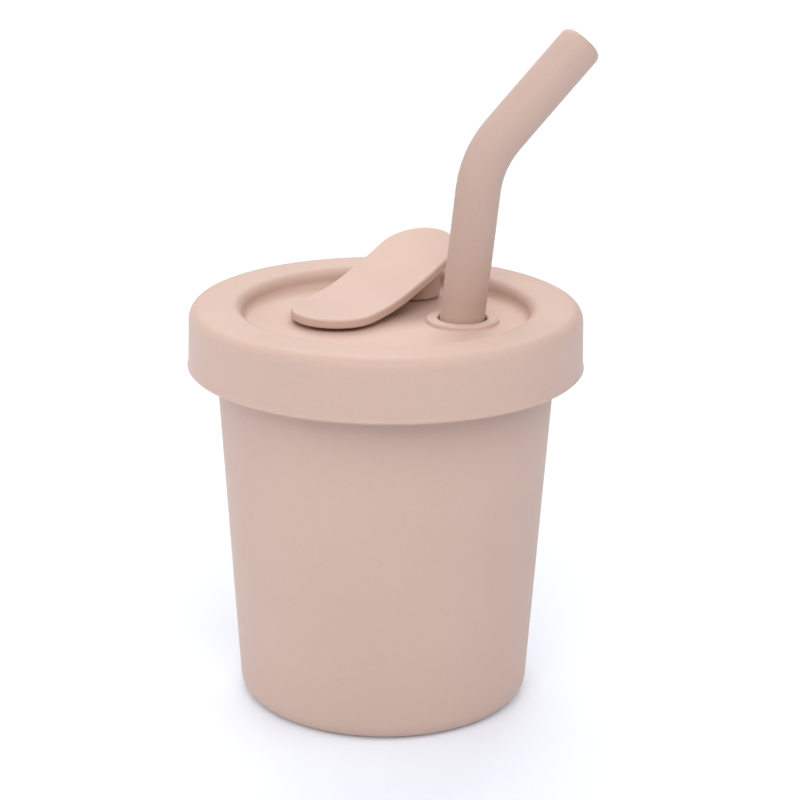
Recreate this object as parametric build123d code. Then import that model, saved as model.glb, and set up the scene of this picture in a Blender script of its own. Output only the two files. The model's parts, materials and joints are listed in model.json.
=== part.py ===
"""Toddler's straw cup in silicone: cup, stretch-on lid, bent straw and swivelling stopper tab.

Frame: origin at the centre of the cup's base, +Z up, millimetres. The straw leaves the lid on
the +X side. The stopper tab is anchored on the -X side, with its free end parked towards +Y.
"""

import os
from math import cos, degrees, radians, sin

from build123d import *

# ---- driving dimensions ------------------------------------------------------------------

# cup
CUP_FOOT_R = 31.09          # outer radius of the wall's line carried down to the base plane
CUP_TAPER = 0.0649          # outward lean of the wall: radius gained per unit of height
CUP_WALL = 2.2
CUP_FLOOR = 3.0
CUP_FOOT_ROUND = 4.0
CUP_INNER_ROUND = 5.0
RIM_Z = 83.6                # top of the rim
RIM_BEAD_H = 3.6            # height of the outward bead that the lid stretches over
RIM_BEAD_R = 39.0
RIM_ROUND = 0.9

# lid
LID_TOP_Z = 86.9
LID_TOP_R = 41.5            # outer radius of the skirt at the top, before its edge is rounded
LID_SKIRT_Z = 73.6          # lower edge of the skirt
LID_SKIRT_R = 42.0          # outer radius at the lower edge
LID_SKIRT_WALL = 2.3
LID_TOP_ROUND = 2.8
LID_EDGE_ROUND = 0.7
LID_RECESS_R = 30.4
LID_RECESS_DEPTH = 4.0
LID_LIP_ROUND = 2.2         # round at the recess's lip
LID_RECESS_ROUND = 1.6      # round at the foot of the recess's wall
LID_FLOOR = 2.5
LID_SEAT_GAP = 0.1          # between the rim and the groove that holds it
LID_PLUG_Z = 77.5           # lower end of the ring that plugs the cup's mouth
LID_PLUG_R = 33.5           # that ring's outer radius at its lower end
LID_PLUG_ROOT_R = 33.9      # and at its root
LID_PLUG_WALL = 2.3

# straw port
PORT_X = 16.1
PORT_HOLE_R = 5.2
PORT_BEAD_R = 7.7
PORT_BEAD_H = 1.1
PORT_BEAD_ROUND = 0.65
PORT_LIP_ROUND = 0.5

# straw
STRAW_R = 4.72
STRAW_BORE_R = 2.6
STRAW_AZIMUTH = 20.0        # plane of the bend, degrees from +X towards +Y
STRAW_LEAN = 6.3            # lower leg from the vertical
STRAW_TIP_LEAN = 43.5       # upper leg from the vertical
STRAW_BEND_R = 19.5
STRAW_PORT_Z = 84.0         # height at which the lower leg passes the port's centre
STRAW_UP = 33.9             # from there to the corner of the two legs
STRAW_TIP = 32.4            # from the corner to the mouth end
STRAW_DOWN = 79.4           # from the port to the lower end, just above the cup's floor
STRAW_TIP_ROUND = 1.7
STRAW_BORE_ROUND = 0.3
STRAW_END_ROUND = 0.5

# stopper tab, parked: its stopper stands on the lid, so the strip is bent upwards
TAB_X = -10.5               # swivel axis
TAB_AZIMUTH = 51.5          # direction of the strip, degrees from +X towards +Y
TAB_TOP_Z = 85.75           # top face at the swivel axis
TAB_THICK = 2.0
TAB_HALF_W = 9.6
TAB_LENGTH = 27.6           # between the centres of its two round ends, along the bend
TAB_TIP = 8.4               # half-ellipse beyond the far centre, along the bend
TAB_BEND_FROM = -3.7        # where the bend starts, from the swivel axis
TAB_BEND_TO = 13.0          # where the tighter bend gives way to the gentler one
TAB_RISE_1 = 17.7           # degrees turned over the tighter bend
TAB_RISE_2 = 8.0            # degrees turned over the rest
TAB_EDGE_ROUND = 0.5
STOPPER_AT = 27.8           # along the bend; there it is as far from the axis as the port is
STOPPER_R = 5.6
STOPPER_ROUND = 0.8
STOPPER_GAP = 0.15          # between the stopper's foot and the recess's floor

# the tab's swivel button, pushed through the lid's floor
BUTTON_STEM_R = 2.5
BUTTON_BORE_R = 2.56
BUTTON_SHOULDER_R = 4.6
BUTTON_HEAD_R = 4.4
BUTTON_HEAD_H = 2.2
BUTTON_HEAD_ROUND = 1.0
BUTTON_GAP = 0.06           # from the shoulder and the head to the lid's floor

TOLERANCE = 0.01            # for telling edges and directions apart

# ---- derived dimensions ------------------------------------------------------------------

RECESS_Z = LID_TOP_Z - LID_RECESS_DEPTH
LID_UNDER_Z = RECESS_Z - LID_FLOOR
GROOVE_Z = RIM_Z + LID_SEAT_GAP
TAB_BEND_R_1 = (TAB_BEND_TO - TAB_BEND_FROM) / radians(TAB_RISE_1)
TAB_BEND_R_2 = (TAB_LENGTH + TAB_TIP - TAB_BEND_TO) / radians(TAB_RISE_2)


def wall_radius(z):
    """Outer radius of the cup's wall at height z."""
    return CUP_FOOT_R + CUP_TAPER * z


def turned(*corners):
    """Solid of revolution about Z of an outline of (radius, height, round) corners."""
    with BuildPart() as solid:
        with BuildSketch(Plane.XZ) as outline:
            with BuildLine():
                Polyline(*[(radius, height) for radius, height, _ in corners], close=True)
            make_face()
            for radius, height, corner_round in corners:
                if corner_round:
                    corner = outline.vertices().sort_by_distance((radius, height, 0))[0]
                    fillet(corner, corner_round)
        revolve(axis=Axis.Z)
    return solid.part


def make_cup():
    """Tapered tumbler with a rounded foot and an outward bead round its rim."""
    bead_z = RIM_Z - RIM_BEAD_H
    return turned(
        (0, 0, 0),
        (CUP_FOOT_R, 0, CUP_FOOT_ROUND),
        (wall_radius(bead_z), bead_z, RIM_ROUND),
        (RIM_BEAD_R, bead_z, RIM_ROUND),
        (RIM_BEAD_R, RIM_Z, RIM_ROUND),
        (wall_radius(RIM_Z) - CUP_WALL, RIM_Z, RIM_ROUND),
        (wall_radius(CUP_FLOOR) - CUP_WALL, CUP_FLOOR, CUP_INNER_ROUND),
        (0, CUP_FLOOR, 0),
    )


def make_lid():
    """Stretch-on lid: groove for the rim, shallow recess, beaded straw port, button bore."""
    plug_bore_r = LID_PLUG_R - LID_PLUG_WALL
    lid = turned(
        (0, LID_UNDER_Z, 0),
        (plug_bore_r, LID_UNDER_Z, LID_EDGE_ROUND),
        (plug_bore_r, LID_PLUG_Z, LID_EDGE_ROUND),
        (LID_PLUG_R, LID_PLUG_Z, LID_EDGE_ROUND),
        (LID_PLUG_ROOT_R, GROOVE_Z, 0),
        (LID_TOP_R - LID_SKIRT_WALL, GROOVE_Z, 0),
        (LID_SKIRT_R - LID_SKIRT_WALL, LID_SKIRT_Z, LID_EDGE_ROUND),
        (LID_SKIRT_R, LID_SKIRT_Z, LID_EDGE_ROUND),
        (LID_TOP_R, LID_TOP_Z, LID_TOP_ROUND),
        (LID_RECESS_R, LID_TOP_Z, LID_LIP_ROUND),
        (LID_RECESS_R, RECESS_Z, LID_RECESS_ROUND),
        (0, RECESS_Z, 0),
    )
    bead_foot_z = RECESS_Z - LID_FLOOR / 2
    bead = turned(
        (0, bead_foot_z, 0),
        (PORT_BEAD_R, bead_foot_z, 0),
        (PORT_BEAD_R, RECESS_Z + PORT_BEAD_H, PORT_BEAD_ROUND),
        (0, RECESS_Z + PORT_BEAD_H, 0),
    )
    bore = turned(
        (0, LID_PLUG_Z, 0),
        (PORT_HOLE_R, LID_PLUG_Z, 0),
        (PORT_HOLE_R, RECESS_Z + PORT_BEAD_H, 0),
        (0, RECESS_Z + PORT_BEAD_H, 0),
    )
    lid = lid + Pos(PORT_X, 0, 0) * bead - Pos(PORT_X, 0, 0) * bore
    circles = lid.edges().filter_by(GeomType.CIRCLE)
    lip = circles.sort_by_distance((PORT_X, 0, RECESS_Z + PORT_BEAD_H))[0]
    lid = fillet(lip, PORT_LIP_ROUND)
    return lid - Pos(TAB_X, 0, RECESS_Z) * Cylinder(BUTTON_BORE_R, 3 * LID_FLOOR)


def make_straw():
    """Tube on three points: lower end, corner of the two legs, mouth end."""
    outward = Vector(cos(radians(STRAW_AZIMUTH)), sin(radians(STRAW_AZIMUTH)), 0)

    def leg(lean):
        return outward * sin(radians(lean)) + Vector(0, 0, cos(radians(lean)))

    port = Vector(PORT_X, 0, STRAW_PORT_Z)
    corner = port + leg(STRAW_LEAN) * STRAW_UP
    path = FilletPolyline(
        port - leg(STRAW_LEAN) * STRAW_DOWN,
        corner,
        corner + leg(STRAW_TIP_LEAN) * STRAW_TIP,
        radius=STRAW_BEND_R,
    )
    section = Plane(origin=path @ 0, z_dir=path % 0) * (Circle(STRAW_R) - Circle(STRAW_BORE_R))
    straw = sweep(section, path=path)
    print("straw: volume over section x length =", straw.volume / (section.area * path.length))
    for end, radius, end_round in (
        (path @ 1, STRAW_R, STRAW_TIP_ROUND),
        (path @ 1, STRAW_BORE_R, STRAW_BORE_ROUND),
        (path @ 0, STRAW_R, STRAW_END_ROUND),
    ):
        circles = straw.edges().filter_by(GeomType.CIRCLE)
        centred = [edge for edge in circles if (edge.arc_center - end).length < TOLERANCE]
        rim = [edge for edge in centred if abs(edge.radius - radius) < TOLERANCE]
        straw = fillet(rim, end_round)
    return straw


def tab_station(run):
    """Distance from the swivel axis, height of the top face and slope, run along the strip."""
    first = radians(TAB_RISE_1)
    slope = first + (run - TAB_BEND_TO) / TAB_BEND_R_2
    across = TAB_BEND_FROM + TAB_BEND_R_1 * sin(first) + TAB_BEND_R_2 * (sin(slope) - sin(first))
    rise = TAB_BEND_R_1 * (1 - cos(first)) + TAB_BEND_R_2 * (cos(first) - cos(slope))
    return across, TAB_TOP_Z + rise, slope


def is_upright(edge):
    """Whether an edge is a straight line along Z."""
    return edge.geom_type == GeomType.LINE and abs((edge % 0.5).Z) > 1 - TOLERANCE


def make_strip():
    """Bent strip of even thickness, trimmed to its round-ended outline, edges softened."""

    def face_line(z, extra_radius):
        """Side view of one face, run on beyond both ends for the outline to trim."""
        flat = Line((-2 * TAB_HALF_W, z), (TAB_BEND_FROM, z))
        tight = JernArc(flat @ 1, flat % 1, TAB_BEND_R_1 + extra_radius, TAB_RISE_1)
        gentle = JernArc(tight @ 1, tight % 1, TAB_BEND_R_2 + extra_radius, 2 * TAB_RISE_2)
        return [flat, tight, gentle]

    top = face_line(TAB_TOP_Z, 0)
    under = face_line(TAB_TOP_Z - TAB_THICK, TAB_THICK)
    ends = [Line(top[0] @ 0, under[0] @ 0), Line(top[2] @ 1, under[2] @ 1)]
    side_view = Plane.XZ * make_face(Curve() + [*top, *under, *ends])
    plate = extrude(side_view, 2 * TAB_HALF_W, both=True)
    far, _, slope = tab_station(TAB_LENGTH)
    outline = Circle(TAB_HALF_W)
    outline += Pos(far / 2, 0) * Rectangle(far, 2 * TAB_HALF_W)
    outline += Pos(far, 0) * Ellipse(TAB_TIP * cos(slope), TAB_HALF_W)
    strip = plate & extrude(outline, 2 * LID_TOP_Z)
    sides = [face for face in strip.faces() if abs(face.normal_at().Z) < TOLERANCE]
    borders = [edge for face in sides for edge in face.edges() if not is_upright(edge)]
    return fillet(borders, TAB_EDGE_ROUND)


def make_tab():
    """Strip with an upright stopper under its free end and the swivel button under the other."""
    across, height, slope = tab_station(STOPPER_AT)
    tab = make_strip()
    foot_z = RECESS_Z + STOPPER_GAP
    stopper = turned(
        (0, foot_z, 0),
        (STOPPER_R, foot_z, STOPPER_ROUND),
        (STOPPER_R, height + STOPPER_R, 0),
        (0, height + STOPPER_R, 0),
    )
    block = 6 * STOPPER_R
    below_strip = Pos(0, 0, -(TAB_THICK + block) / 2) * Box(block, block, block)
    below_strip = Pos(0, 0, height) * Rot(0, -degrees(slope), 0) * below_strip
    tab += Pos(across, 0, 0) * (stopper & below_strip)
    head_top_z = LID_UNDER_Z - BUTTON_GAP
    tab += turned(
        (0, TAB_TOP_Z - TAB_THICK / 2, 0),
        (BUTTON_SHOULDER_R, TAB_TOP_Z - TAB_THICK / 2, 0),
        (BUTTON_SHOULDER_R, RECESS_Z + BUTTON_GAP, 0),
        (BUTTON_STEM_R, RECESS_Z + BUTTON_GAP, 0),
        (BUTTON_STEM_R, head_top_z, 0),
        (BUTTON_HEAD_R, head_top_z, 0),
        (BUTTON_HEAD_R, head_top_z - BUTTON_HEAD_H, BUTTON_HEAD_ROUND),
        (0, head_top_z - BUTTON_HEAD_H, 0),
    )
    return Pos(TAB_X, 0, 0) * Rot(0, 0, TAB_AZIMUTH) * tab


if __name__ == "__main__":
    os.makedirs("parts", exist_ok=True)
    nodes = {
        "cup_body": make_cup(),
        "lid": make_lid(),
        "straw": make_straw(),
        "stopper_tab": make_tab(),
    }
    for name, solid in nodes.items():
        solid.label = name
        export_step(solid, f"parts/{name}.step")
        box = solid.bounding_box()
        print(name, round(solid.volume / 1000, 2), "cm3, z", round(box.min.Z, 2), round(box.max.Z, 2))
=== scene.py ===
"""Looks for the silicone straw cup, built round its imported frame.

Every piece is a fresh quad mesh that stands for its CAD node: the cup and the lid are turned from
outlines of (radius, height, round) corners, the straw is swept along its bent centreline, and the
stopper tab is laid out flat and then bent. Lengths are millimetres until MM turns them to metres.
"""
import json
import math

import bmesh
import bpy
from mathutils import Matrix, Vector


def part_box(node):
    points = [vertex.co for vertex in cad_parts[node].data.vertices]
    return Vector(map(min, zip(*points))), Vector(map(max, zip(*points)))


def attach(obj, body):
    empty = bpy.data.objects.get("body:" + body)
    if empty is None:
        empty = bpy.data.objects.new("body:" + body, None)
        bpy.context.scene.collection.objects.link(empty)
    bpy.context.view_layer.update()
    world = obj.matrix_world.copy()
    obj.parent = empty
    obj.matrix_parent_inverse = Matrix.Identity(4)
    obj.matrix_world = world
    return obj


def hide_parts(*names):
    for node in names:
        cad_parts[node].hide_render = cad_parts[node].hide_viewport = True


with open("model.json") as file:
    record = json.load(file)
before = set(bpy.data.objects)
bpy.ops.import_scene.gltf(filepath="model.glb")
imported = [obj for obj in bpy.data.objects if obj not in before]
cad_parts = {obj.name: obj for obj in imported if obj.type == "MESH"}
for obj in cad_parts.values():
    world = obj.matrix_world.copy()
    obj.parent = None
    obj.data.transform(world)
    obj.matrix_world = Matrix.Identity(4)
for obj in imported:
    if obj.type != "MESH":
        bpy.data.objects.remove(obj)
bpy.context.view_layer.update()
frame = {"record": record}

MM = 0.001

# camera, fitted to the product shot
CAMERA_AT = (3.1, -483.4, 220.85)
CAMERA_DOWN = 17.823          # degrees below the horizon
CAMERA_ROLL = 0.582           # degrees
CAMERA_LENS = 107.05          # on a sensor CAMERA_SENSOR wide
CAMERA_SENSOR = 36.0
CAMERA_SEES = (0.01, 20.0)    # metres

# mesh density
TURN_STEPS = 192              # quads round the cup and the lid
SPAN = 2.2                    # longest quad along an outline
ARC_STEP = 11.0               # degrees of a rounded corner that one quad turns
SHARP_EDGE = 50.0             # degrees between two faces that don't shade as one
WELD = 1e-4                   # points closer than this become one
ON_AXIS = 1e-6                # a ring narrower than this is a single point

# cup
CUP_FOOT_R = 31.09            # the wall's outer line carried down to the base
CUP_TAPER = 0.0649            # radius gained per unit of height
CUP_WALL = 2.2
CUP_FLOOR = 3.0
CUP_FOOT_ROUND = 4.0
CUP_INNER_ROUND = 5.0
RIM_BEAD_H = 3.6
RIM_ROUND = 0.9

# lid
LID_TOP_SHRINK = 0.5          # the skirt's lean: its top is this much narrower than its foot
LID_SKIRT_WALL = 2.3
LID_TOP_ROUND = 2.8
LID_EDGE_ROUND = 0.7
LID_LIP_H = 1.3               # the skirt flares over this height at its foot
LID_LIP_FLARE = 0.2
LID_FLARE_ROUND = 0.8
LID_FOOT_ROUND = 0.45
LID_RECESS_R = 30.4
LID_RECESS_DEPTH = 4.0
LID_RING_ROUND = 2.2
LID_RECESS_ROUND = 1.6
LID_FLOOR = 2.5
LID_GROOVE_DEPTH = 3.2        # from the top ring's face to the groove's roof
LID_PLUG_DROP = 9.4           # from the top ring's face to the plug ring's lower end
LID_PLUG_R = 33.5
LID_PLUG_ROOT_R = 33.9
LID_PLUG_WALL = 2.3
SPLIT_STEPS = 45              # the floor is two halves, parted this many steps round from +X
SPLIT_QUADS = 38              # quads along the parting line
LID_FLOOR_RINGS = 12          # rings of quads from the floor's edge in to a hole

# straw port and button bore in the lid's floor
PORT_X = 16.1
PORT_HOLE_R = 5.2
PORT_BEAD_R = 7.7
PORT_BEAD_H = 1.1
PORT_BEAD_ROUND = 0.65
PORT_LIP_ROUND = 0.5
PORT_ROOT_ROUND = 0.4
BUTTON_BORE_R = 2.56
BORE_EDGE_ROUND = 0.3

# straw
STRAW_R = 4.72
STRAW_BORE_R = 2.6
STRAW_AZIMUTH = 20.0          # degrees from +X to the plane it lies in
STRAW_LEAN = 6.3              # degrees from upright, below the bend
STRAW_TIP_LEAN = 43.5         # degrees from upright, above the bend
STRAW_BEND_R = 19.5
STRAW_PORT_Z = 84.0           # height at which it crosses the port's axis
STRAW_UP = 33.9               # from there to the corner that the bend rounds off
STRAW_TIP = 32.4              # from that corner to the mouth end
STRAW_DOWN = 79.4             # from the port to the lower end
STRAW_TIP_ROUND = 1.7
STRAW_BORE_ROUND = 0.3
STRAW_END_ROUND = 0.5
STRAW_SIDES = 64              # quads round the tube

# stopper tab
TAB_AZIMUTH = 51.5            # degrees from +X to the way it points at rest
TAB_TOP_Z = 85.75             # its top face over the button
TAB_THICK = 2.0
TAB_HALF_W = 9.6
TAB_LENGTH = 27.6             # from the swivel axis to where the free end's round starts
TAB_TIP = 8.4                 # how far the free end's round sticks out
TAB_BEND_FROM = -3.7          # the strip starts to rise here, and
TAB_BEND_TO = 13.0            # bends more gently from here on
TAB_RISE_1 = 17.7             # degrees turned over the first bend
TAB_RISE_2 = 8.0              # and over the rest
TAB_EDGE_ROUND = 0.5
TAB_RIM_QUADS = 48            # quads round each end of the tab's outline
TAB_SIDE_QUADS = 36
TAB_FACE_RINGS = 9
STOPPER_AT = 27.8             # from the swivel axis, along the bend
STOPPER_R = 5.6
STOPPER_ROUND = 0.8
STOPPER_GAP = 0.15            # between its foot and the recess's floor
BUTTON_STEM_R = 2.5
BUTTON_SHOULDER_R = 4.6
BUTTON_HEAD_R = 4.4
BUTTON_HEAD_H = 2.2
BUTTON_HEAD_ROUND = 1.0
BUTTON_EDGE_ROUND = 0.06
BUTTON_GAP = 0.06             # between the button and the lid, above and below
TURN_STEPS_SMALL = 64         # quads round the stopper and the button
JOIN_SLIVER = 0.002           # edges shorter than this go after a join

# silicone
BLUSH = (0.600, 0.422, 0.350)
# painted shade: the straw's tint is the same silicone made about a tenth darker, to stand in for
# the lesser light that falls on the straw
STRAW_SHADED_BLUSH = (0.538, 0.379, 0.318)
SILICONE_IOR = 1.41
ROUGHNESS = (0.51, 0.62)      # from the shiniest smear to the dullest
SCATTER_WEIGHT = 0.06
SCATTER_REACH = (1.0, 0.5, 0.35)  # millimetres that red, green and blue travel inside
SHEEN_WEIGHT = 0.12
SHEEN_ROUGHNESS = 0.45
SHEEN_TINT = (1.0, 0.93, 0.9)
NOISE_SPREAD = (0.3, 0.7)     # noise values that map onto the two ends of a range
CLOUD_CONTRAST = 0.018
DUST_TINT = (0.78, 0.66, 0.61)
DUST_SHARE = 0.07
WAVE_DEPTH = 0.06
GRAIN_DEPTH = 0.012
# each noise: millimetres across one blotch, and detail
CLOUDS = (26.0, 3.0)
DUST = (0.5, 2.0)
SMEARS = (9.0, 4.0)
WAVES = (14.0, 1.0)
GRAIN = (0.22, 2.0)
# a Mix node's sockets for colours
MIX_FIRST = 6
MIX_SECOND = 7
MIX_RESULT = 2

# studio
FLOOR_TINT = (0.82, 0.855, 0.92)
FLOOR_HALF = 8.0              # metres from the middle to each side
FLOOR_SQUARES = 8
FLOOR_ROUGHNESS = 0.9
FLOOR_GLOW = 0.10             # light of the floor's own, as from a lit table
FLOOR_FAR_GLOW = 1.3          # the same out where the lamps don't reach
FLOOR_GLOW_RISE = (0.8, 2.0)  # metres from the cup between which the one turns into the other
ROOM_TINT = (1.0, 1.0, 1.0)
ROOM_STRENGTH = 0.09
LAMP_AIM = (0.0, 0.0, 0.08)
# each lamp: place in metres, side of its square face, watts
LAMPS = {
    "front_high": ((0.0, -1.4, 1.5), 1.4, 22.0),
    "back_high": ((0.0, 1.4, 1.5), 1.4, 18.2),
    "overhead": ((0.0, 0.0, 1.4), 1.2, 4.6),
    "right_high": ((1.4, -0.4, 1.5), 1.4, 10.1),
    "left_high": ((-1.4, -0.4, 1.5), 1.4, 3.4),
    "back_left": ((-1.1, 1.1, 1.3), 1.2, 5.5),
    "front_left": ((-1.4, -1.3, 0.95), 1.3, 5.0),
    "left_low": ((-1.9, 0.2, 0.7), 1.2, 5.2),
}

JOINTS = {joint["name"]: joint for joint in frame["record"]["behaviour"]["joints"]}
LID_LOW, LID_HIGH = [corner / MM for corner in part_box("lid")]
CUP_LOW, CUP_HIGH = [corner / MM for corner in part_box("cup_body")]
RECESS_Z = LID_HIGH.z - LID_RECESS_DEPTH
LID_UNDER_Z = RECESS_Z - LID_FLOOR
PLUG_BORE_R = LID_PLUG_R - LID_PLUG_WALL
SWIVEL = Vector(JOINTS["tab_swivel"]["pos_m"]) / MM


# ---- mesh helpers ------------------------------------------------------------------------


def unit_points(angles):
    """Level unit vectors, one at each angle."""
    return [Vector((math.cos(a), math.sin(a), 0)) for a in angles]


def even_angles(count):
    """Angles evenly round a circle."""
    return [2 * math.pi * i / count for i in range(count)]


def spaced(start, end, span=SPAN):
    """Points from start up to, but not including, end, no further apart than span."""
    count = max(1, math.ceil((end - start).length / span))
    return [start.lerp(end, i / count) for i in range(count)]


def outline(*corners, closed=False):
    """(radius, height) points along straight runs with rounded corners, evenly filled in."""
    spots = [Vector(corner[:2]) for corner in corners]
    rounds = [corner[2] for corner in corners]
    count = len(spots)
    stretches = []
    for i, (spot, corner_round) in enumerate(zip(spots, rounds)):
        if not corner_round:
            stretches.append([spot])
            continue
        back = (spots[i - 1] - spot).normalized()
        onward = (spots[(i + 1) % count] - spot).normalized()
        half = back.angle(onward) / 2
        centre = spot + (back + onward).normalized() * corner_round / math.sin(half)
        first = spot + back * corner_round / math.tan(half) - centre
        last = spot + onward * corner_round / math.tan(half) - centre
        turn = first.angle_signed(last)
        steps = max(3, math.ceil(abs(math.degrees(turn)) / ARC_STEP))
        arc = []
        for k in range(steps + 1):
            arc.append(centre + Matrix.Rotation(-turn * k / steps, 2) @ first)
        stretches.append(arc)
    points = []
    for i, stretch in enumerate(stretches):
        points += stretch[:-1]
        last = i == count - 1
        if last and not closed:
            points.append(stretch[-1])
        else:
            points += spaced(stretch[-1], stretches[(i + 1) % count][0])
    return points


def ring(bm, centre, radius, height, spokes):
    """Vertices of one level circle about a vertical axis; a single vertex at radius 0."""
    if radius < ON_AXIS:
        return [bm.verts.new((centre.x, centre.y, height))]
    places = [(centre.x + radius * s.x, centre.y + radius * s.y, height) for s in spokes]
    return [bm.verts.new(place) for place in places]


def skin(bm, rings):
    """Quads between rings that follow each other; a ring of one vertex closes in a fan."""
    for low, high in zip(rings, rings[1:]):
        count = max(len(low), len(high))
        for i in range(count):
            j = (i + 1) % count
            if len(low) == 1:
                bm.faces.new((low[0], high[j], high[i]))
            elif len(high) == 1:
                bm.faces.new((low[i], low[j], high[0]))
            else:
                bm.faces.new((low[i], low[j], high[j], high[i]))


def turned(bm, points, spokes, centre=Vector((0, 0))):
    """Surface of revolution of an outline; returns its rings."""
    rings = [ring(bm, centre, point.x, point.y, spokes) for point in points]
    skin(bm, rings)
    return rings


def finished(bm, name):
    """Object in metres, with outward normals and smooth shading."""
    bmesh.ops.remove_doubles(bm, verts=bm.verts, dist=WELD)
    bmesh.ops.recalc_face_normals(bm, faces=bm.faces)
    bmesh.ops.scale(bm, vec=(MM, MM, MM), verts=bm.verts)
    mesh = bpy.data.meshes.new(name)
    bm.to_mesh(mesh)
    bm.free()
    mesh.shade_smooth()
    mesh.set_sharp_from_angle(angle=math.radians(SHARP_EDGE))
    piece = bpy.data.objects.new(name, mesh)
    bpy.context.scene.collection.objects.link(piece)
    return piece


# ---- cup ---------------------------------------------------------------------------------


def make_cup():
    """The tumbler, turned in one outline: base, wall, rim bead and inside."""
    rim_z = CUP_HIGH.z
    bead_z = rim_z - RIM_BEAD_H

    def wall(z):
        return CUP_FOOT_R + CUP_TAPER * z

    bm = bmesh.new()
    points = outline(
        (0, 0, 0),
        (CUP_FOOT_R, 0, CUP_FOOT_ROUND),
        (wall(bead_z), bead_z, RIM_ROUND),
        (CUP_HIGH.x, bead_z, RIM_ROUND),
        (CUP_HIGH.x, rim_z, RIM_ROUND),
        (wall(rim_z) - CUP_WALL, rim_z, RIM_ROUND),
        (wall(CUP_FLOOR) - CUP_WALL, CUP_FLOOR, CUP_INNER_ROUND),
        (0, CUP_FLOOR, 0),
    )
    turned(bm, points, unit_points(even_angles(TURN_STEPS)))
    return finished(bm, "cup_tumbler")


# ---- lid ---------------------------------------------------------------------------------


def floor_loop(bm, edge_ring, from_step, to_step):
    """Closed loop round one half of the floor: an arc of the edge ring, then the parting line."""
    arc = [edge_ring[i % TURN_STEPS] for i in range(from_step, to_step + 1)]
    start, end = arc[-1].co, arc[0].co
    line = [bm.verts.new(start.lerp(end, i / SPLIT_QUADS)) for i in range(1, SPLIT_QUADS)]
    return arc + line


def fill_towards(bm, loop, inner):
    """Rings of quads across the flat floor, from its outer loop to the ring round a hole."""
    rings = [loop]
    for k in range(1, LID_FLOOR_RINGS):
        share = k / LID_FLOOR_RINGS
        rings.append([bm.verts.new(a.co.lerp(b.co, share)) for a, b in zip(loop, inner)])
    skin(bm, rings + [inner])


def make_lid():
    """The turned shell, its flat floor filled in two halves, each round one hole."""
    bm = bmesh.new()
    top_z = LID_HIGH.z
    foot_z = LID_LOW.z
    foot_r = max(LID_HIGH.x, LID_HIGH.y)
    top_r = foot_r - LID_TOP_SHRINK
    groove_z = top_z - LID_GROOVE_DEPTH
    plug_z = top_z - LID_PLUG_DROP
    body = outline(
        (LID_RECESS_R - LID_RECESS_ROUND - SPAN, RECESS_Z, 0),
        (LID_RECESS_R, RECESS_Z, LID_RECESS_ROUND),
        (LID_RECESS_R, top_z, LID_RING_ROUND),
        (top_r, top_z, LID_TOP_ROUND),
        (foot_r - LID_LIP_FLARE, foot_z + LID_LIP_H, LID_FLARE_ROUND),
        (foot_r, foot_z + LID_FOOT_ROUND, 0),
        (foot_r - LID_FOOT_ROUND, foot_z, 0),
        (foot_r - LID_SKIRT_WALL, foot_z, LID_EDGE_ROUND),
        (top_r - LID_SKIRT_WALL, groove_z, LID_EDGE_ROUND),
        (LID_PLUG_ROOT_R, groove_z, LID_EDGE_ROUND),
        (LID_PLUG_R, plug_z, LID_EDGE_ROUND),
        (PLUG_BORE_R, plug_z, LID_EDGE_ROUND),
        (PLUG_BORE_R, LID_UNDER_Z, LID_EDGE_ROUND),
        (PLUG_BORE_R - SPAN, LID_UNDER_Z, 0),
    )
    rings = turned(bm, body, unit_points(even_angles(TURN_STEPS)))
    port = outline(
        (PORT_BEAD_R + 2 * PORT_ROOT_ROUND, RECESS_Z, 0),
        (PORT_BEAD_R, RECESS_Z, PORT_ROOT_ROUND),
        (PORT_BEAD_R, RECESS_Z + PORT_BEAD_H, PORT_BEAD_ROUND),
        (PORT_HOLE_R, RECESS_Z + PORT_BEAD_H, PORT_LIP_ROUND),
        (PORT_HOLE_R, LID_UNDER_Z, BORE_EDGE_ROUND),
        (PORT_HOLE_R + 2 * BORE_EDGE_ROUND, LID_UNDER_Z, 0),
    )
    bore = outline(
        (BUTTON_BORE_R + 2 * BORE_EDGE_ROUND, RECESS_Z, 0),
        (BUTTON_BORE_R, RECESS_Z, BORE_EDGE_ROUND),
        (BUTTON_BORE_R, LID_UNDER_Z, BORE_EDGE_ROUND),
        (BUTTON_BORE_R + 2 * BORE_EDGE_ROUND, LID_UNDER_Z, 0),
    )
    halves = (
        (-SPLIT_STEPS, SPLIT_STEPS, Vector((PORT_X, 0)), port),
        (SPLIT_STEPS, TURN_STEPS - SPLIT_STEPS, Vector((SWIVEL.x, SWIVEL.y)), bore),
    )
    for from_step, to_step, centre, hole in halves:
        upper = floor_loop(bm, rings[0], from_step, to_step)
        lower = floor_loop(bm, rings[-1], from_step, to_step)
        spokes = [(vert.co.xy - centre).normalized() for vert in upper]
        hole_rings = turned(bm, hole, spokes, centre)
        fill_towards(bm, upper, hole_rings[0])
        fill_towards(bm, lower, hole_rings[-1])
    return finished(bm, "lid_shell")


# ---- straw -------------------------------------------------------------------------------


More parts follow.
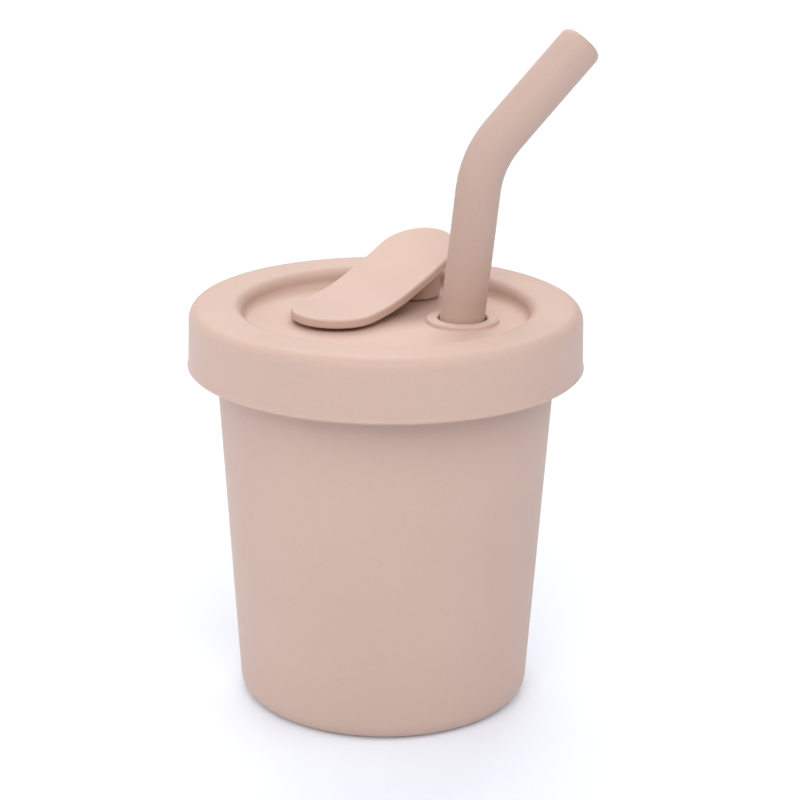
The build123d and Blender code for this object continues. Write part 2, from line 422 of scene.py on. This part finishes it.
def make_straw():
    """Tube swept along a leg, an arc and a leg, with rounded ends and an open bore."""
    azimuth = math.radians(STRAW_AZIMUTH)
    outward = Vector((math.cos(azimuth), math.sin(azimuth), 0))
    across = Vector((-outward.y, outward.x, 0))
    lean, tip_lean = math.radians(STRAW_LEAN), math.radians(STRAW_TIP_LEAN)

    def leg(angle):
        return outward * math.sin(angle) + Vector((0, 0, math.cos(angle)))

    cut = STRAW_BEND_R * math.tan((tip_lean - lean) / 2)
    lower_end = Vector((PORT_X, 0, STRAW_PORT_Z)) - leg(lean) * STRAW_DOWN
    lower_length = STRAW_DOWN + STRAW_UP - cut
    bend_length = STRAW_BEND_R * (tip_lean - lean)
    length = lower_length + bend_length + STRAW_TIP - cut
    bend_start = lower_end + leg(lean) * lower_length
    inward = outward * math.cos(lean) - Vector((0, 0, math.sin(lean)))
    pivot = bend_start + inward * STRAW_BEND_R

    def station(run):
        """Centre and direction at a distance along the centreline."""
        if run <= lower_length:
            return lower_end + leg(lean) * run, leg(lean)
        angle = min(lean + (run - lower_length) / STRAW_BEND_R, tip_lean)
        inward = outward * math.cos(angle) - Vector((0, 0, math.sin(angle)))
        centre = pivot - inward * STRAW_BEND_R
        beyond = max(0, run - lower_length - bend_length)
        return centre + leg(angle) * beyond, leg(angle)

    walls = outline(
        (STRAW_R, 0, STRAW_END_ROUND),
        (STRAW_R, length, STRAW_TIP_ROUND),
        (STRAW_BORE_R, length, STRAW_BORE_ROUND),
        (STRAW_BORE_R, 0, STRAW_BORE_ROUND),
        closed=True,
    )
    bm = bmesh.new()
    rings = []
    for radius, run in walls:
        centre, direction = station(run)
        side = across.cross(direction)
        spokes = [side * math.cos(a) + across * math.sin(a) for a in even_angles(STRAW_SIDES)]
        rings.append([bm.verts.new(centre + spoke * radius) for spoke in spokes])
    skin(bm, rings + rings[:1])
    return finished(bm, "straw_tube")


# ---- stopper tab -------------------------------------------------------------------------


def tab_station(run):
    """Distance from the swivel axis, height of the top face and slope, run along the strip."""
    radius_1 = (TAB_BEND_TO - TAB_BEND_FROM) / math.radians(TAB_RISE_1)
    radius_2 = (TAB_LENGTH + TAB_TIP - TAB_BEND_TO) / math.radians(TAB_RISE_2)
    slope_1 = max(0, min(run, TAB_BEND_TO) - TAB_BEND_FROM) / radius_1
    slope_2 = slope_1 + max(0, run - TAB_BEND_TO) / radius_2
    across = min(run, TAB_BEND_FROM) + radius_1 * math.sin(slope_1)
    across += radius_2 * (math.sin(slope_2) - math.sin(slope_1))
    rise = radius_1 * (1 - math.cos(slope_1)) + radius_2 * (math.cos(slope_1) - math.cos(slope_2))
    return across, TAB_TOP_Z + rise, slope_2


def tab_rim():
    """Outline of the flat strip, each point with the point of the middle line it faces."""
    far = Vector((TAB_LENGTH, 0))
    near = Vector((0, 0))
    rim = []
    for k in range(TAB_RIM_QUADS):
        a = math.pi / 2 + math.pi * k / TAB_RIM_QUADS
        rim.append((Vector((TAB_HALF_W * math.cos(a), TAB_HALF_W * math.sin(a))), near))
    for k in range(TAB_SIDE_QUADS):
        middle = near.lerp(far, k / TAB_SIDE_QUADS)
        rim.append((middle - Vector((0, TAB_HALF_W)), middle))
    for k in range(TAB_RIM_QUADS):
        a = -math.pi / 2 + math.pi * k / TAB_RIM_QUADS
        rim.append((far + Vector((TAB_TIP * math.cos(a), TAB_HALF_W * math.sin(a))), far))
    for k in range(TAB_SIDE_QUADS):
        middle = far.lerp(near, k / TAB_SIDE_QUADS)
        rim.append((middle + Vector((0, TAB_HALF_W)), middle))
    return rim


def bent(run, width, drop):
    """Place of a point of the flat strip, drop below its top face, once the strip is bent."""
    across, height, slope = tab_station(run)
    return Vector((across + drop * math.sin(slope), width, height - drop * math.cos(slope)))


def make_strip():
    """The bent strip: its faces in rings that follow the rim, its edge rounded over."""
    rim = tab_rim()
    margin = 4 * TAB_EDGE_ROUND
    edge = outline(
        (-margin, 0, 0),
        (0, 0, TAB_EDGE_ROUND),
        (0, TAB_THICK, TAB_EDGE_ROUND),
        (-margin, TAB_THICK, 0),
    )
    bm = bmesh.new()

    def level(drop, inset, share=1.0):
        """One ring: share is how far out it lies from the middle line to the inset rim."""
        verts = []
        for point, middle in rim:
            flat = middle.lerp(point + (point - middle).normalized() * inset, share)
            verts.append(bm.verts.new(bent(flat.x, flat.y, drop)))
        return verts

    shares = [k / TAB_FACE_RINGS for k in range(TAB_FACE_RINGS)]
    rings = [level(0, -margin, share) for share in shares]
    rings += [level(drop, inset) for inset, drop in edge]
    rings += [level(TAB_THICK, -margin, share) for share in reversed(shares)]
    skin(bm, rings)
    return finished(bm, "stopper_tab_soft")


def make_knob(name, *corners):
    """Closed solid of revolution that is joined to the strip."""
    bm = bmesh.new()
    turned(bm, outline(*corners), unit_points(even_angles(TURN_STEPS_SMALL)))
    return finished(bm, name)


def joined(piece, *others):
    """Adds the others to the piece as one skin, and drops them."""
    for other in others:
        union = piece.modifiers.new(other.name, "BOOLEAN")
        union.operation = "UNION"
        union.solver = "EXACT"
        union.object = other
    depsgraph = bpy.context.evaluated_depsgraph_get()
    mesh = bpy.data.meshes.new_from_object(piece.evaluated_get(depsgraph))
    bm = bmesh.new()
    bm.from_mesh(mesh)
    bmesh.ops.dissolve_degenerate(bm, edges=bm.edges, dist=JOIN_SLIVER * MM)
    bmesh.ops.triangulate(bm, faces=[face for face in bm.faces if len(face.verts) > 4])
    bm.to_mesh(mesh)
    bm.free()
    mesh.set_sharp_from_angle(angle=math.radians(SHARP_EDGE))
    piece.modifiers.clear()
    piece.data = mesh
    for other in others:
        bpy.data.objects.remove(other)


def make_tab():
    """The strip with its stopper and snap button, parked the way it points at rest."""
    strip = make_strip()
    across, height, slope = tab_station(STOPPER_AT)
    foot_z = RECESS_Z + STOPPER_GAP
    root_z = height - TAB_THICK / 2 / math.cos(slope)
    stopper = make_knob(
        "stopper",
        (0, foot_z, 0),
        (STOPPER_R, foot_z, STOPPER_ROUND),
        (STOPPER_R, root_z, 0),
        (0, root_z, 0),
    )
    wall_z = foot_z + STOPPER_ROUND
    # the stopper's root is sheared to the slope of the strip that it joins
    for vert in stopper.data.vertices:
        share = max(0, (vert.co.z / MM - wall_z) / (root_z - wall_z))
        vert.co.z += vert.co.x * math.tan(slope) * share
    stopper.data.transform(Matrix.Translation(Vector((across, 0, 0)) * MM))
    head_top_z = LID_UNDER_Z - BUTTON_GAP
    button = make_knob(
        "button",
        (0, TAB_TOP_Z - TAB_THICK / 2, 0),
        (BUTTON_SHOULDER_R, TAB_TOP_Z - TAB_THICK / 2, 0),
        (BUTTON_SHOULDER_R, RECESS_Z + BUTTON_GAP, 0),
        (BUTTON_STEM_R, RECESS_Z + BUTTON_GAP, 0),
        (BUTTON_STEM_R, head_top_z, 0),
        (BUTTON_HEAD_R, head_top_z, BUTTON_EDGE_ROUND),
        (BUTTON_HEAD_R, head_top_z - BUTTON_HEAD_H, BUTTON_HEAD_ROUND),
        (0, head_top_z - BUTTON_HEAD_H, 0),
    )
    joined(strip, stopper, button)
    parked = Matrix.Rotation(math.radians(TAB_AZIMUTH), 4, "Z")
    strip.data.transform(Matrix.Translation(Vector((SWIVEL.x, SWIVEL.y, 0)) * MM) @ parked)
    return strip


# ---- looks -------------------------------------------------------------------------------


def silicone(name, tint):
    """Matt moulded silicone: faint clouds, a powdery grain and a soft, slightly uneven sheen."""
    material = bpy.data.materials.new(name)
    material.use_nodes = True
    tree = material.node_tree
    shader = tree.nodes["Principled BSDF"]
    shader.inputs["IOR"].default_value = SILICONE_IOR
    shader.inputs["Subsurface Weight"].default_value = SCATTER_WEIGHT
    shader.inputs["Subsurface Radius"].default_value = SCATTER_REACH
    shader.inputs["Subsurface Scale"].default_value = MM
    shader.inputs["Sheen Weight"].default_value = SHEEN_WEIGHT
    shader.inputs["Sheen Roughness"].default_value = SHEEN_ROUGHNESS
    shader.inputs["Sheen Tint"].default_value = (*SHEEN_TINT, 1)
    place = tree.nodes.new("ShaderNodeTexCoord")

    def noise(feature, detail):
        """Noise whose blotches are about feature millimetres across."""
        node = tree.nodes.new("ShaderNodeTexNoise")
        node.inputs["Scale"].default_value = 1 / (feature * MM)
        node.inputs["Detail"].default_value = detail
        tree.links.new(place.outputs["Object"], node.inputs["Vector"])
        return node.outputs["Fac"]

    def ranged(value, low, high):
        """The value mapped from the noise's spread onto low to high."""
        node = tree.nodes.new("ShaderNodeMapRange")
        node.inputs["From Min"].default_value = NOISE_SPREAD[0]
        node.inputs["From Max"].default_value = NOISE_SPREAD[1]
        node.inputs["To Min"].default_value = low
        node.inputs["To Max"].default_value = high
        tree.links.new(value, node.inputs["Value"])
        return node.outputs["Result"]

    def mixed(first, second, share):
        """Two colours, each a tuple or a socket, mixed by a share."""
        node = tree.nodes.new("ShaderNodeMix")
        node.data_type = "RGBA"
        tree.links.new(share, node.inputs["Factor"])
        for index, colour in ((MIX_FIRST, first), (MIX_SECOND, second)):
            socket = node.inputs[index]
            if isinstance(colour, tuple):
                socket.default_value = (*colour, 1)
            else:
                tree.links.new(colour, socket)
        return node.outputs[MIX_RESULT]

    def bump(height, depth, under=None):
        """Normal of a surface depth millimetres deep, laid over another normal if one is given."""
        node = tree.nodes.new("ShaderNodeBump")
        node.inputs["Distance"].default_value = depth * MM
        tree.links.new(height, node.inputs["Height"])
        if under is not None:
            tree.links.new(under, node.inputs["Normal"])
        return node.outputs["Normal"]

    cloudy = mixed(
        tuple(channel * (1 - CLOUD_CONTRAST) for channel in tint),
        tuple(channel * (1 + CLOUD_CONTRAST) for channel in tint),
        ranged(noise(*CLOUDS), 0.0, 1.0),
    )
    dusty = mixed(cloudy, DUST_TINT, ranged(noise(*DUST), 0.0, DUST_SHARE))
    tree.links.new(dusty, shader.inputs["Base Color"])
    tree.links.new(ranged(noise(*SMEARS), *ROUGHNESS), shader.inputs["Roughness"])
    waves = bump(noise(*WAVES), WAVE_DEPTH)
    tree.links.new(bump(noise(*GRAIN), GRAIN_DEPTH, waves), shader.inputs["Normal"])
    return material


def make_camera():
    """The camera, at the product shot's place and tilt."""
    data = bpy.data.cameras.new("camera")
    data.lens = CAMERA_LENS
    data.sensor_width = CAMERA_SENSOR
    data.clip_start, data.clip_end = CAMERA_SEES
    camera = bpy.data.objects.new("camera", data)
    bpy.context.scene.collection.objects.link(camera)
    tilt = Matrix.Rotation(math.radians(90 - CAMERA_DOWN), 4, "X")
    roll = Matrix.Rotation(math.radians(CAMERA_ROLL), 4, "Z")
    camera.matrix_world = Matrix.Translation(Vector(CAMERA_AT) * MM) @ tilt @ roll
    bpy.context.scene.camera = camera


def make_light(name, at, aim, size, watts):
    """A square lamp at one place, turned towards another."""
    data = bpy.data.lights.new(name, "AREA")
    data.shape = "SQUARE"
    data.size = size
    data.energy = watts
    lamp = bpy.data.objects.new(name, data)
    bpy.context.scene.collection.objects.link(lamp)
    lamp.location = at
    lamp.rotation_mode = "QUATERNION"
    lamp.rotation_quaternion = (Vector(aim) - Vector(at)).to_track_quat("-Z", "Y")


def make_floor_paper():
    """White paper whose own glow rises outwards, so that it stays white beyond the lamps."""
    material = bpy.data.materials.new("floor_paper")
    material.use_nodes = True
    tree = material.node_tree
    shader = tree.nodes["Principled BSDF"]
    shader.inputs["Base Color"].default_value = (*FLOOR_TINT, 1)
    shader.inputs["Emission Color"].default_value = (*FLOOR_TINT, 1)
    shader.inputs["Roughness"].default_value = FLOOR_ROUGHNESS
    shader.inputs["Specular IOR Level"].default_value = 0.0
    place = tree.nodes.new("ShaderNodeTexCoord")
    distance = tree.nodes.new("ShaderNodeVectorMath")
    distance.operation = "LENGTH"
    glow = tree.nodes.new("ShaderNodeMapRange")
    glow.inputs["From Min"].default_value = FLOOR_GLOW_RISE[0]
    glow.inputs["From Max"].default_value = FLOOR_GLOW_RISE[1]
    glow.inputs["To Min"].default_value = FLOOR_GLOW
    glow.inputs["To Max"].default_value = FLOOR_FAR_GLOW
    tree.links.new(place.outputs["Object"], distance.inputs[0])
    tree.links.new(distance.outputs["Value"], glow.inputs["Value"])
    tree.links.new(glow.outputs["Result"], shader.inputs["Emission Strength"])
    return material


def make_stage():
    """Pale floor, dim white surroundings and soft square lamps."""
    bm = bmesh.new()
    bmesh.ops.create_grid(bm, x_segments=FLOOR_SQUARES, y_segments=FLOOR_SQUARES, size=FLOOR_HALF)
    mesh = bpy.data.meshes.new("floor")
    bm.to_mesh(mesh)
    bm.free()
    floor = bpy.data.objects.new("floor", mesh)
    bpy.context.scene.collection.objects.link(floor)
    floor.data.materials.append(make_floor_paper())
    world = bpy.data.worlds.new("white_room")
    world.use_nodes = True
    background = world.node_tree.nodes["Background"]
    background.inputs["Color"].default_value = (*ROOM_TINT, 1)
    background.inputs["Strength"].default_value = ROOM_STRENGTH
    bpy.context.scene.world = world
    for name, (at, size, watts) in LAMPS.items():
        make_light(name, at, LAMP_AIM, size, watts)
    bpy.context.scene.view_settings.view_transform = "Standard"


make_camera()
make_stage()
skins = {
    "cup_body": ("cup", make_cup(), "silicone_cup"),
    "lid": ("lid", make_lid(), "silicone_lid"),
    "straw": ("straw", make_straw(), "silicone_straw"),
    "stopper_tab": ("tab", make_tab(), "silicone_tab"),
}
for node, (body, piece, slot_name) in skins.items():
    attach(piece, body)
    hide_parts(node)
    # the straw takes the darker copy of the tint, which is painted shade
    tint = STRAW_SHADED_BLUSH if node == "straw" else BLUSH
    piece.data.materials.append(silicone(slot_name, tint))
